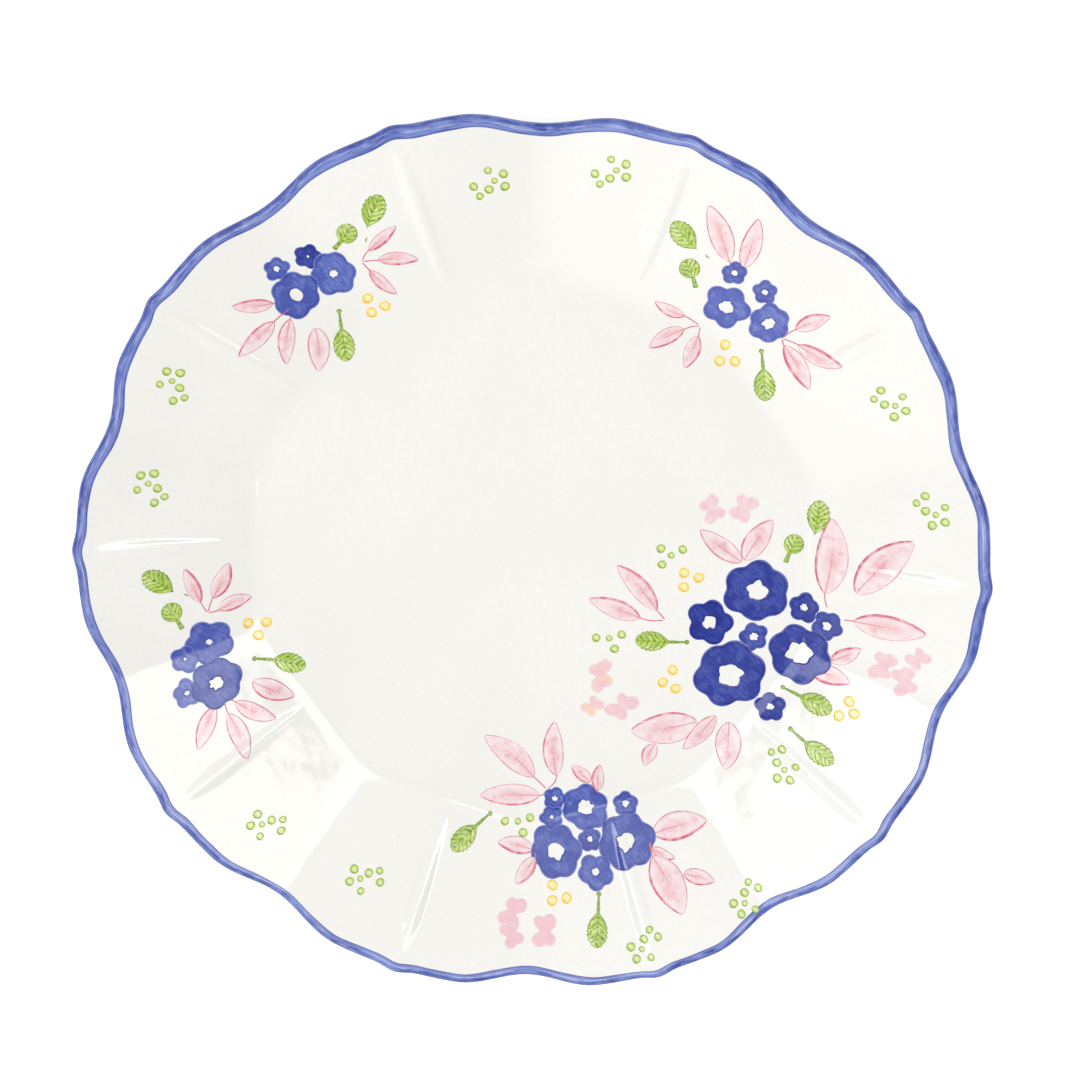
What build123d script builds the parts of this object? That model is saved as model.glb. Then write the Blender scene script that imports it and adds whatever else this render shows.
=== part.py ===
"""Scalloped china dinner plate: ten soft lobes, a faceted rim with a rib in each lobe, painted flowers.

Millimetres, +Z up. The origin is the middle of the foot ring, on the table.
The plate is one fired clay body. Everything else is a coat fused to it: the clear glaze, the blue edge
band and the painted sprays, which lie on the glaze.
"""

from build123d import *
import os
from math import atan, cos, hypot, radians, sin, sqrt

# Finished (glazed) shape
RIB_ANGLES = (35, 70, 107, 144, 178, 215, 252, 287, 322, 358)  # one raised rib in the middle of each lobe
CREST_RADIUS = 136.4  # from the axis to the edge at a rib
LOBE_ROUND = 74.0  # radius of each lobe's own arc
NOTCH_ROUND = 44.0  # radius of the soft hollow between two lobes
LIP_ZONE = 128.0  # only the edges further out than this belong to the lip
WELL_RADIUS = 83.0  # from the axis to the foot of each rim facet
WELL_FLOOR = 6.8
WELL_FILLET = 20.0  # between the well and the facets
RIM_SLOPE = 0.375
CORNER_WELL = 26.0  # rounding of the decagon's corners at the well
CORNER_EDGE = 14.0  # and at the edge of the plate
WELL_THICKNESS = 4.2
UNDER_RADIUS = 84.0  # from the axis to the foot of each facet underneath
UNDER_SLOPE = 0.382
LIP_TOP_ROUND = 1.6
LIP_UNDER_ROUND = 1.7
LIP_TOP_DEPTHS = (-2.0, 2.0)  # the lip's upper edge lies this far below the dish's facets
LIP_UNDER_DEPTHS = (3.5, 8.0)  # and its lower edge this far

# Raised ribs
RIB_START = 3.0  # along the facet from its foot
RIB_LENGTH = 47.0
RIB_CREST = 0.66  # where the rib is highest, as a part of its length
RIB_HEIGHT = 0.7
RIB_WIDTH = 5.6
RIB_ROOT = 1.5  # how deep the rib's own solid reaches into the body

# Foot ring
FOOT_HEIGHT = 2.6
FOOT_INNER = 73.0
FOOT_OUTER = 78.0
FOOT_FLARE = 1.6
FOOT_ROOT = 1.0  # how far the ring's own solid reaches into the body

# Coats
GLAZE = 0.3
PAINT = 0.2
GLAZE_LINE = 1.0  # the glaze is wiped off the foot below this height
BAND_WIDTH = 3.4
BAND_GAP = 0.1  # no other paint comes nearer to the band than this
TALL = 34.0  # higher than anything on the plate
COLUMN_FOOT = 1.0  # each motif starts as a column between these two levels
COLUMN_HEIGHT = 31.0

# Painted decoration, seen from above
FLOWER_PETALS = 5
FLOWER_HEART = 0.62  # radius of the disc that joins the petals, as a part of the flower's radius
PETAL_REACH = 0.58  # middle of each petal's circle, as a part of it
PETAL_ROUND = 0.42  # radius of that circle, as a part of it
FLOWER_EYE = 0.3  # bare middle, as a part of it
BLOSSOM_PETALS = 4
BLUE_FLOWERS = (
    # x, y, radius, turn
    (-74.0, 88.5, 3.8, 20),
    (-65.0, 92.0, 4.0, 0),
    (-58.0, 86.5, 6.8, 10),
    (-69.0, 80.3, 7.2, 40),
    (59.0, 87.5, 3.8, 15),
    (57.0, 77.0, 6.9, 55),
    (68.0, 82.0, 3.8, 18),
    (69.5, 72.5, 6.1, 30),
    (-98.4, -27.2, 7.2, 50),
    (-105.6, -32.0, 4.4, 5),
    (-105.0, -42.3, 4.4, 30),
    (-96.4, -40.0, 7.7, 25),
    (68.0, -11.0, 9.9, 25),
    (54.0, -21.0, 7.2, 0),
    (67.5, -25.5, 4.6, 35),
    (60.5, -37.5, 10.8, 15),
    (81.5, -30.5, 9.4, 40),
    (82.5, -16.0, 4.8, 10),
    (89.5, -21.0, 4.8, 50),
    (73.0, -47.5, 4.7, 25),
    (16.5, -81.5, 7.4, 25),
    (7.0, -79.0, 3.9, 0),
    (6.0, -85.0, 3.8, 45),
    (29.0, -80.0, 4.0, 20),
    (7.5, -95.0, 8.2, 10),
    (18.0, -91.0, 3.8, 30),
    (29.5, -91.0, 8.8, 20),
    (20.0, -100.5, 5.6, 55),
)
PINK_LEAVES = (
    # x, y of the base, turn, length, width
    (-47.5, 93.5, 42, 11.5, 3.4),
    (-45.0, 90.5, 0, 12.0, 4.0),
    (-47.5, 87.5, -45, 11.0, 3.6),
    (-75.5, 78.0, 182, 12.0, 4.0),
    (-75.5, 72.5, 224, 15.0, 4.7),
    (-71.0, 73.0, 263, 14.5, 4.7),
    (-64.0, 70.0, 271, 14.0, 6.0),
    (57.5, 91.0, 111, 18.5, 6.3),
    (61.5, 89.0, 76, 16.0, 5.6),
    (45.0, 73.5, 154, 10.0, 3.4),
    (45.0, 69.5, 209, 12.0, 4.5),
    (49.0, 67.5, 249, 10.5, 4.5),
    (77.0, 71.0, 26, 11.0, 4.5),
    (78.0, 66.5, -25, 14.5, 4.7),
    (74.0, 66.0, -60, 15.5, 5.2),
    (-100.5, -14.5, 111, 12.0, 4.0),
    (-97.0, -13.5, 65, 12.0, 4.9),
    (-95.5, -17.5, 19, 10.5, 4.3),
    (-86.0, -40.5, -23, 14.0, 5.8),
    (-97.0, -47.0, 249, 13.5, 4.9),
    (-93.0, -49.5, -68, 15.5, 5.4),
    (-91.0, -46.0, -27, 14.0, 4.7),
    (63.5, -2.0, 142, 16.5, 5.6),
    (64.0, -1.5, 57, 15.5, 6.7),
    (88.5, -11.0, 87, 24.0, 9.0),
    (97.5, -10.0, 48, 24.5, 9.4),
    (97.0, -18.5, -4, 21.5, 7.2),
    (90.5, -32.0, 30, 10.5, 4.5),
    (84.5, -35.5, -12, 12.5, 5.6),
    (38.0, -17.5, 131, 19.0, 5.6),
    (33.0, -20.0, 159, 17.0, 5.6),
    (51.0, -53.0, 189, 21.0, 9.4),
    (38.0, -60.5, 246, 8.0, 4.3),
    (56.5, -51.0, 228, 15.0, 5.2),
    (60.5, -53.0, 267, 15.0, 7.4),
    (0.5, -72.0, 139, 20.5, 7.2),
    (7.5, -71.5, 92, 18.0, 6.0),
    (2.5, -78.0, 181, 19.0, 6.7),
    (18.0, -73.5, 138, 8.0, 3.8),
    (20.5, -76.5, 87, 9.0, 3.8),
    (0.5, -95.0, 168, 11.5, 4.9),
    (1.0, -97.0, 234, 10.0, 4.5),
    (37.5, -88.5, 16, 17.5, 7.8),
    (37.0, -92.5, -20, 8.0, 3.1),
    (37.5, -95.0, -60, 19.0, 9.4),
    (47.0, -99.5, -10, 10.0, 4.5),
)
SERRATED_LEAVES = (  # x, y of the base, turn
    (-47.5, 100.5, 66),
    (48.0, 94.5, 130),
    (-108.0, -10.5, 142),
    (85.0, 7.0, 84),
)
SPOON_LEAVES = (  # x, y of the stem's end, turn
    (-57.5, 94.0, 52),
    (48.0, 82.5, 111),
    (-106.0, -22.5, 118),
    (76.5, -2.0, 66),
)
STALKED_LEAVES = (  # x, y of the knob on the stalk, turn
    (-57.0, 75.5, 276),
    (67.5, 64.5, 276),
    (-86.0, -33.5, -11),
    (48.0, -27.5, 178),
    (76.0, -41.0, -21),
    (78.5, -53.0, -35),
    (-12.5, -83.5, 222),
    (21.0, -106.0, 268),
)
LEAF_LENGTH = 11.0
LEAF_WIDTH = 6.4
STALK_LENGTH = 4.8
STALK_WIDTH = 0.7
KNOB_RADIUS = 0.8
SPOON_RADIUS = 3.1
SPOON_REACH = 5.8
YELLOW_BERRIES = (
    (-48.5, 78.5),
    (-43.5, 76.0),
    (-47.5, 74.0),
    (57.0, 65.0),
    (55.5, 60.0),
    (60.0, 60.0),
    (-87.0, -22.5),
    (-81.5, -22.5),
    (-84.0, -26.5),
    (46.0, -5.5),
    (50.5, -7.0),
    (46.0, -10.0),
    (43.0, -36.5),
    (40.0, -40.5),
    (44.0, -42.5),
    (96.5, -43.5),
    (93.5, -48.0),
    (98.0, -47.0),
    (6.5, -105.0),
    (11.0, -108.5),
    (6.5, -109.5),
)
YELLOW_RADIUS = 1.7
BERRY_SPRIG = (
    # the seven green berries of one sprig, round its smallest: x, y, radius
    (0.0, 0.0, 1.0),
    (-1.8, 3.1, 1.2),
    (2.6, 2.1, 1.4),
    (3.0, -1.7, 1.45),
    (-1.6, -2.6, 1.4),
    (-6.0, -1.7, 1.35),
    (-4.3, -4.6, 1.2),
)
BERRY_SPRIGS = (
    # x, y, turn
    (-10.5, 114.5, 0),
    (24.5, 118.0, -5),
    (-105.5, 55.5, 73),
    (-114.0, 24.0, 88),
    (-83.0, -84.0, 141),
    (-53.0, -102.0, 153),
    (106.5, 49.5, -62),
    (119.5, 17.0, -75),
    (77.5, -66.0, -98),
    (66.0, -107.0, -146),
    (34.5, -122.0, -158),
)
BERRY_FOURS = (
    # x, y, turn of the loose groups of four
    (42.0, 0.0, 0),
    (23.5, -26.5, 150),
    (-4.5, -86.5, 150),
)
FOUR_BERRIES = (
    (0.0, 0.0, 1.1),
    (3.5, 1.9, 1.4),
    (-3.1, 2.1, 1.45),
    (-2.7, -2.9, 1.4),
)
PINK_BLOSSOMS = (
    # x, y, radius, turn of the pale four-petalled blossoms
    (54.0, 14.5, 5.0, 75),
    (63.5, 15.0, 5.2, 20),
    (21.0, -38.5, 5.4, 60),
    (27.5, -48.5, 5.4, 10),
    (18.5, -48.5, 4.0, 0),
    (106.0, -31.5, 5.0, 30),
    (112.5, -35.5, 5.2, 60),
    (116.0, -28.0, 4.2, 0),
    (-6.0, -113.0, 5.0, 20),
    (-6.0, -119.5, 4.8, 70),
    (4.2, -118.5, 5.4, 45),
)


def polar(radius, angle):
    """Plan position of a point at a radius and an angle in degrees."""
    return (radius * cos(radians(angle)), radius * sin(radians(angle)))


def lobes():
    """Each lobe's rib angle, with the half gaps in degrees to the ribs before and after it."""
    count = len(RIB_ANGLES)
    found = []
    for i, rib in enumerate(RIB_ANGLES):
        before = (rib - RIB_ANGLES[i - 1]) % 360 / 2
        after = (RIB_ANGLES[(i + 1) % count] - rib) % 360 / 2
        found.append((rib, before, after))
    return found


def scalloped_outline(grow):
    """Sketch face of the plate's edge, moved out by grow: an arc for each lobe, a soft hollow between two."""
    with BuildSketch() as sketch:
        for rib in RIB_ANGLES:
            with Locations(polar(CREST_RADIUS - LOBE_ROUND, rib)):
                Circle(LOBE_ROUND + grow)
        fillet(sketch.vertices(), NOTCH_ROUND - grow)
    return sketch.sketch


def faceted_bowl(radius, floor, slope, corner_well, corner_edge, turn):
    """Solid filling a ten-sided dish: a flat floor, one flat facet for each lobe, rounded corners."""
    with BuildPart() as bowl:
        for level, corner in ((floor, corner_well), (TALL, corner_edge)):
            reach = radius + (level - floor) / slope
            with BuildSketch(Plane.XY.offset(level)) as section:
                with BuildLine():
                    corners = [polar(reach / cos(radians(after)), rib + after) for rib, _, after in lobes()]
                    Polyline(*corners, close=True)
                make_face()
                fillet(section.vertices(), corner)
        loft(ruled=True)
        fillet(bowl.edges().group_by(Axis.Z)[0], turn)
    return bowl.part


def foot_shift(slope, grow):
    """How far a facet's foot moves towards the axis when the floor and the facet both move by grow."""
    return grow * (sqrt(1 + slope**2) - 1) / slope


def hollow(grow):
    """The air in the dish, above the surface moved up by grow."""
    radius = WELL_RADIUS - foot_shift(RIM_SLOPE, grow)
    return faceted_bowl(radius, WELL_FLOOR + grow, RIM_SLOPE, CORNER_WELL, CORNER_EDGE, WELL_FILLET - grow)


def underside(grow):
    """Everything above the underside moved down by grow."""
    radius = UNDER_RADIUS + foot_shift(UNDER_SLOPE, grow)
    floor = WELL_FLOOR - WELL_THICKNESS - grow
    return faceted_bowl(radius, floor, UNDER_SLOPE, CORNER_WELL, CORNER_EDGE, WELL_FILLET + grow)


def ribs(grow):
    """The ten raised ribs, each a shallow spindle lying along its facet."""
    tilt = atan(RIM_SLOPE)
    depth = (RIB_WIDTH**2 / 4 - RIB_HEIGHT**2) / (2 * RIB_HEIGHT)
    with BuildPart() as spindles:
        for rib in RIB_ANGLES:
            foot = polar(WELL_RADIUS, rib)
            along = polar(cos(tilt), rib) + (sin(tilt),)
            across = polar(1, rib - 90) + (0,)
            upright = polar(-sin(tilt), rib) + (cos(tilt),)
            facet = Plane(origin=foot + (WELL_FLOOR,), x_dir=along, z_dir=upright)
            with BuildSketch(Plane(origin=facet.origin, x_dir=along, z_dir=across)):
                with BuildLine():
                    start = (RIB_START, grow)
                    crest = (RIB_START + RIB_CREST * RIB_LENGTH, RIB_HEIGHT + grow)
                    end = (RIB_START + RIB_LENGTH, grow)
                    Spline(start, crest, end)
                    Polyline(end, (end[0], -depth), (start[0], -depth), start)
                make_face()
            revolve(axis=Axis(facet.from_local_coords((0, 0, -depth)), along))
    return spindles.part


def foot_ring(grow):
    """The ring that the plate stands on: sloping sides moved out by grow, its face on the table."""
    top = FOOT_HEIGHT + FOOT_ROOT
    with BuildPart() as ring:
        with BuildSketch(Plane.XZ):
            with BuildLine():
                Polyline(
                    (FOOT_INNER - FOOT_FLARE - grow, top),
                    (FOOT_INNER - grow, 0),
                    (FOOT_OUTER + grow, 0),
                    (FOOT_OUTER + FOOT_FLARE + grow, top),
                    close=True,
                )
            make_face()
        revolve(axis=Axis.Z)
    return ring.part


def depth_below_dish(edge):
    """How far an edge's middle lies below the dish's facets."""
    middle = edge.center()
    reach = max(middle.X * cos(radians(rib)) + middle.Y * sin(radians(rib)) for rib in RIB_ANGLES)
    return WELL_FLOOR + RIM_SLOPE * (reach - WELL_RADIUS) - middle.Z


def rim_form(grow):
    """Dish and rim with a rounded lip, every face moved out by grow."""
    with BuildPart() as form:
        add(scalloped_outline(grow))
        extrude(amount=TALL - 1)
        add(underside(grow), mode=Mode.INTERSECT)
        add(hollow(grow), mode=Mode.SUBTRACT)
        for (shallow, deep), radius in ((LIP_TOP_DEPTHS, LIP_TOP_ROUND), (LIP_UNDER_DEPTHS, LIP_UNDER_ROUND)):
            lip = [
                edge
                for edge in form.edges()
                if hypot(edge.center().X, edge.center().Y) > LIP_ZONE
                and abs(edge.tangent_at(0.5).Z) < 0.9
                and shallow < depth_below_dish(edge) < deep
            ]
            fillet(lip, radius + grow)
    return form.part


def plate_form(rim, grow):
    """The whole plate from its rim form, every face but the one on the table moved out by grow."""
    with BuildPart() as form:
        add(rim)
        add(ribs(grow) & (hollow(-RIB_ROOT) - hollow(BAND_WIDTH)))
        add(foot_ring(grow))
    return form.part


def air(grow):
    """The air in the dish, above the surface and its ribs moved up by grow."""
    return hollow(grow) - ribs(grow)


def motif_plane(x, y, turn=0):
    """Level plane of one painted motif, turned about its own origin."""
    return Plane(origin=(x, y, COLUMN_FOOT), x_dir=polar(1, turn) + (0,), z_dir=(0, 0, 1))


glazed_rim = rim_form(0)
clay = plate_form(rim_form(-GLAZE), -GLAZE)
glazed = plate_form(glazed_rim, 0)
paint_layer = (air(0) - air(PAINT)) & extrude(scalloped_outline(-BAND_WIDTH - BAND_GAP), amount=TALL)

with BuildPart() as clay_body:
    add(clay)

with BuildPart() as glaze_coat:
    add(glazed)
    add(clay, mode=Mode.SUBTRACT)
    with BuildSketch():
        Circle(FOOT_OUTER + FOOT_FLARE + FOOT_ROOT)
        Circle(FOOT_INNER - FOOT_FLARE - FOOT_ROOT, mode=Mode.SUBTRACT)
    extrude(amount=GLAZE_LINE, mode=Mode.SUBTRACT)

with BuildPart() as rim_edge_band:
    add(rim_form(PAINT))
    add(scalloped_outline(-BAND_WIDTH))
    extrude(amount=TALL, mode=Mode.SUBTRACT)
    add(glazed_rim, mode=Mode.SUBTRACT)

# Each motif is a column first, which the thin paint layer then cuts to a pad lying on the glaze.
with BuildPart() as flower_columns:
    for x, y, radius, turn in BLUE_FLOWERS:
        with BuildSketch(motif_plane(x, y, turn)):
            Circle(FLOWER_HEART * radius)
            with PolarLocations(PETAL_REACH * radius, FLOWER_PETALS):
                Circle(PETAL_ROUND * radius)
    extrude(amount=COLUMN_HEIGHT)
    for x, y, radius, turn in BLUE_FLOWERS:
        with BuildSketch(motif_plane(x, y, turn)):
            Circle(FLOWER_EYE * radius)
    extrude(amount=COLUMN_HEIGHT, mode=Mode.SUBTRACT)

with BuildPart() as pink_leaf_columns:
    for x, y, turn, length, width in PINK_LEAVES:
        with BuildSketch(motif_plane(x, y, turn)):
            with BuildLine():
                ThreePointArc((0, 0), (length / 2, width / 2), (length, 0))
                ThreePointArc((length, 0), (length / 2, -width / 2), (0, 0))
            make_face()
    extrude(amount=COLUMN_HEIGHT)

with BuildPart() as green_leaf_columns:
    for x, y, turn in SERRATED_LEAVES:
        with BuildSketch(motif_plane(x, y, turn)):
            with BuildLine():
                ThreePointArc((0, 0), (LEAF_LENGTH / 2, LEAF_WIDTH / 2), (LEAF_LENGTH, 0))
                ThreePointArc((LEAF_LENGTH, 0), (LEAF_LENGTH / 2, -LEAF_WIDTH / 2), (0, 0))
            make_face()
    for x, y, turn in SPOON_LEAVES:
        with BuildSketch(motif_plane(x, y, turn)):
            with Locations((SPOON_REACH, 0)):
                Circle(SPOON_RADIUS)
            with Locations((SPOON_REACH / 2, 0)):
                SlotOverall(SPOON_REACH, 2 * KNOB_RADIUS)
    for x, y, turn in STALKED_LEAVES:
        with BuildSketch(motif_plane(x, y, turn)):
            with BuildLine():
                tip = STALK_LENGTH + LEAF_LENGTH
                middle = STALK_LENGTH + LEAF_LENGTH / 2
                ThreePointArc((STALK_LENGTH, 0), (middle, LEAF_WIDTH / 2), (tip, 0))
                ThreePointArc((tip, 0), (middle, -LEAF_WIDTH / 2), (STALK_LENGTH, 0))
            make_face()
            Circle(KNOB_RADIUS)
            with Locations(((STALK_LENGTH + KNOB_RADIUS) / 2, 0)):
                Rectangle(STALK_LENGTH + KNOB_RADIUS, STALK_WIDTH)
    extrude(amount=COLUMN_HEIGHT)

with BuildPart() as blossom_columns:
    for x, y, radius, turn in PINK_BLOSSOMS:
        with BuildSketch(motif_plane(x, y, turn)):
            with PolarLocations(radius / 2, BLOSSOM_PETALS):
                Circle(radius / 2)
    extrude(amount=COLUMN_HEIGHT)

with BuildPart() as blue_flowers:
    add(flower_columns.part)
    add(paint_layer, mode=Mode.INTERSECT)

with BuildPart() as pink_leaves:
    add(pink_leaf_columns.part)
    add(paint_layer, mode=Mode.INTERSECT)
    add(flower_columns.part, mode=Mode.SUBTRACT)

with BuildPart() as green_leaves:
    add(green_leaf_columns.part)
    add(paint_layer, mode=Mode.INTERSECT)
    add(flower_columns.part, mode=Mode.SUBTRACT)
    add(pink_leaf_columns.part, mode=Mode.SUBTRACT)

with BuildPart() as pink_blossoms:
    add(blossom_columns.part)
    add(paint_layer, mode=Mode.INTERSECT)
    add(flower_columns.part, mode=Mode.SUBTRACT)
    add(pink_leaf_columns.part, mode=Mode.SUBTRACT)
    add(green_leaf_columns.part, mode=Mode.SUBTRACT)

with BuildPart() as yellow_berries:
    for x, y in YELLOW_BERRIES:
        with BuildSketch(motif_plane(x, y)):
            Circle(YELLOW_RADIUS)
    extrude(amount=COLUMN_HEIGHT)
    add(paint_layer, mode=Mode.INTERSECT)

with BuildPart() as green_berries:
    for group, places in ((BERRY_SPRIG, BERRY_SPRIGS), (FOUR_BERRIES, BERRY_FOURS)):
        for x, y, turn in places:
            with BuildSketch(motif_plane(x, y, turn)):
                for along, across, radius in group:
                    with Locations((along, across)):
                        Circle(radius)
    extrude(amount=COLUMN_HEIGHT)
    add(paint_layer, mode=Mode.INTERSECT)

pieces = {
    "clay_body": clay_body,
    "glaze_coat": glaze_coat,
    "rim_edge_band": rim_edge_band,
    "blue_flowers": blue_flowers,
    "pink_leaves": pink_leaves,
    "green_leaves": green_leaves,
    "pink_blossoms": pink_blossoms,
    "yellow_berries": yellow_berries,
    "green_berries": green_berries,
}
os.makedirs("parts", exist_ok=True)
for name, piece in pieces.items():
    piece.part.label = name
    export_step(piece.part, f"parts/{name}.step")
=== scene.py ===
from math import atan, cos, pi, radians, sin, tan

import bpy
import numpy as np
from mathutils import Matrix, Vector


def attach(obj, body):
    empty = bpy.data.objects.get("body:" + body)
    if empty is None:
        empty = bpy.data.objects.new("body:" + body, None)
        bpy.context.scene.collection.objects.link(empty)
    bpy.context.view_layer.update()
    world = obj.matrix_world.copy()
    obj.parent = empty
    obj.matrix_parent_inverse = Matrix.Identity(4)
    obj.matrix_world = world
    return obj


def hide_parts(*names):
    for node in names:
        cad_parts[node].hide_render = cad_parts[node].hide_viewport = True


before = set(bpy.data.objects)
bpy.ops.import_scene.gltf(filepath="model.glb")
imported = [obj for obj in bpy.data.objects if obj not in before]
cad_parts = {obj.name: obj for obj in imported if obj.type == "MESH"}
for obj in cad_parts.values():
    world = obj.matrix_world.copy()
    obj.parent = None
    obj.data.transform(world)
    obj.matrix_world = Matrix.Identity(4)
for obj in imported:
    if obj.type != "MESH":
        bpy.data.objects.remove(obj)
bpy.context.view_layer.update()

MM = 0.001  # the shapes below are worked out in millimetres

# The finished plate, as in the CAD source
RIB_ANGLES = np.array([35, 70, 107, 144, 178, 215, 252, 287, 322, 358], float)
LOBE_RADIUS = 135.5
NOTCH_RADIUS = 131.7
LOBE_SHARE = 0.45  # part of each half lobe that keeps the full radius
TIP_OUT = 1.15  # each rib ends in a small tip of the edge
TIP_SHARE = 0.1
WELL_RADIUS = 83.0
WELL_FLOOR = 6.8
WELL_FILLET = 20.0
RIM_SLOPE = 0.375
CORNER_WELL = 26.0
CORNER_EDGE = 14.0
CORNER_RUN = 72.5  # the corner's radius falls from one to the other over this reach
UNDER_RADIUS = 84.0
UNDER_FLOOR = 2.6
UNDER_SLOPE = 0.382
LIP_TOP_ROUND = 1.6
LIP_UNDER_ROUND = 1.7
RIB_START = 3.0
RIB_CREST = 34.0
RIB_END = 50.0
RIB_HEIGHT = 0.7
RIB_DEPTH = 5.25  # the rib's axis lies this far under its facet
RIB_SOFTNESS = 0.08  # how gently the glaze runs from the rib to the facet
FOOT_OUTER = 78.0
FOOT_INNER = 73.0
FOOT_LEAN = 1.6 / 3.6
GLAZE_LINE = 1.0
GLAZE = 0.28


# -- the plate's surface


def facet_of(phi):
    """Signed angle to the nearest rib and the half gap on that side, in radians, for angles in degrees."""
    away = (np.asarray(phi, float)[..., None] - RIB_ANGLES + 180) % 360 - 180
    nearest = np.abs(away).argmin(-1)
    off = np.take_along_axis(away, nearest[..., None], -1)[..., 0]
    ahead = (np.roll(RIB_ANGLES, -1) - RIB_ANGLES) % 360 / 2
    behind = (RIB_ANGLES - np.roll(RIB_ANGLES, 1)) % 360 / 2
    half = np.where(off >= 0, ahead[nearest], behind[nearest])
    return np.radians(off), np.radians(half)


def corner_round(reach):
    """Rounding of the corner between two facets, smaller further out."""
    return CORNER_WELL - (CORNER_WELL - CORNER_EDGE) * (reach - WELL_RADIUS) / CORNER_RUN


def reach_of(rho, off, half):
    """Distance from the axis measured square to the facet, with the corners rounded."""
    straight = rho * np.cos(off)
    slant = half - np.abs(off)
    out, side = rho * np.cos(slant), rho * np.sin(slant)
    reach = straight
    for _ in range(3):
        radius = corner_round(reach)
        inside = side < radius * np.sin(half)
        bow = radius + np.cos(half) * (out - np.sqrt(np.maximum(radius**2 - side**2, 0)))
        reach = np.where(inside, bow, straight)
    return reach


def rho_of(reach, off, half):
    """The other way: the radius at which a reach is met."""
    slant = half - np.abs(off)
    radius = corner_round(reach)
    centre = (reach - radius) / np.cos(half)
    bow = centre * np.cos(slant) + np.sqrt(np.maximum(radius**2 - (centre * np.sin(slant)) ** 2, 0))
    inside = bow * np.sin(slant) < radius * np.sin(half)
    return np.where(inside, bow, reach / np.cos(off))


def dish(reach, radius, floor, slope):
    """Level floor, fillet and slope."""
    half_turn = atan(slope) / 2
    start = radius - WELL_FILLET * tan(half_turn)
    end = radius + WELL_FILLET * tan(half_turn) * cos(2 * half_turn)
    along = np.clip(reach - start, 0, end - start)
    arc = floor + WELL_FILLET - np.sqrt(WELL_FILLET**2 - along**2)
    return np.where(reach < end, arc, floor + slope * (reach - radius))


def rib_rise(rho, off):
    """Height of the raised rib over its facet."""
    along = (rho * np.cos(off) - WELL_RADIUS) / cos(atan(RIM_SLOPE))
    across = rho * np.sin(off)
    span = np.where(along < RIB_CREST, RIB_CREST - RIB_START, RIB_END - RIB_CREST)
    crest = RIB_HEIGHT * (1 - ((along - RIB_CREST) / span) ** 2)
    rise = np.maximum(crest, -4 * RIB_HEIGHT) - across**2 / (2 * (RIB_DEPTH + RIB_HEIGHT / 2))
    return (rise + np.sqrt(rise**2 + RIB_SOFTNESS**2)) / 2


def hand_waver(x, y):
    """The slow unevenness of a moulded and glazed body."""
    return (
        0.035 * np.sin(0.071 * x + 0.043 * y + 0.6)
        + 0.030 * np.sin(-0.052 * x + 0.088 * y + 2.1)
        + 0.012 * np.sin(0.17 * x - 0.11 * y + 4.0)
        + 0.008 * np.sin(0.13 * x + 0.29 * y + 1.1)
    )


def top_height(rho, phi):
    """Height of the glazed upper surface."""
    off, half = facet_of(phi)
    reach = reach_of(rho, off, half)
    x, y = rho * np.cos(np.radians(phi)), rho * np.sin(np.radians(phi))
    return dish(reach, WELL_RADIUS, WELL_FLOOR, RIM_SLOPE) + rib_rise(rho, off) + hand_waver(x, y)


def under_height(rho, phi):
    """Height of the glazed underside."""
    off, half = facet_of(phi)
    return dish(reach_of(rho, off, half), UNDER_RADIUS, UNDER_FLOOR, UNDER_SLOPE)


def edge_radius(phi):
    """The scalloped outline: round lobes, a soft hollow between two, a small tip where each rib ends."""
    off, half = facet_of(phi)
    share = np.abs(off) / half
    fall = np.clip((share - LOBE_SHARE) / (1 - LOBE_SHARE), 0, 1)
    hollow = (LOBE_RADIUS - NOTCH_RADIUS) * (1 - np.cos(np.pi * fall)) / 2
    tip = TIP_OUT * np.exp(-((share / TIP_SHARE) ** 2))
    uneven = 0.18 * np.sin(np.radians(3 * phi) + 0.7) + 0.12 * np.sin(np.radians(11 * phi))
    return LOBE_RADIUS - hollow + tip + uneven


def lip(phi, turns_top, turns_under):
    """Section rows, as radius and height, from the top facet round the lip to the underside."""
    edge = edge_radius(phi)
    top, under = top_height(edge, phi), under_height(edge, phi)
    top_slope = top - top_height(edge - 1, phi)
    under_slope = under - under_height(edge - 1, phi)
    rows = []
    top_z = top - LIP_TOP_ROUND * (top_slope + np.sqrt(1 + top_slope**2))
    for turn in turns_top:
        angle = (1 - turn) * (np.pi / 2 + np.arctan(top_slope))
        rows.append((edge - LIP_TOP_ROUND * (1 - np.cos(angle)), top_z + LIP_TOP_ROUND * np.sin(angle)))
    under_z = under - LIP_UNDER_ROUND * (under_slope - np.sqrt(1 + under_slope**2))
    for turn in turns_under:
        angle = -turn * (np.pi / 2 - np.arctan(under_slope))
        rows.append((edge - LIP_UNDER_ROUND * (1 - np.cos(angle)), under_z + LIP_UNDER_ROUND * np.sin(angle)))
    return rows


# -- mesh helpers


def grid_faces(rows, columns, first=0, wrap=True):
    """Quads of a grid of vertices stored row by row."""
    index = first + np.arange(rows * columns).reshape(rows, columns)
    if wrap:
        index = np.concatenate([index, index[:, :1]], axis=1)
    quads = np.stack([index[:-1, :-1], index[1:, :-1], index[1:, 1:], index[:-1, 1:]], axis=-1)
    return quads.reshape(-1, 4).tolist()


def ring_points(rho, z, turn):
    """Points of rings round the axis, row by row."""
    return np.stack(np.broadcast_arrays(rho * np.cos(turn), rho * np.sin(turn), z), axis=-1).reshape(-1, 3)


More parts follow.
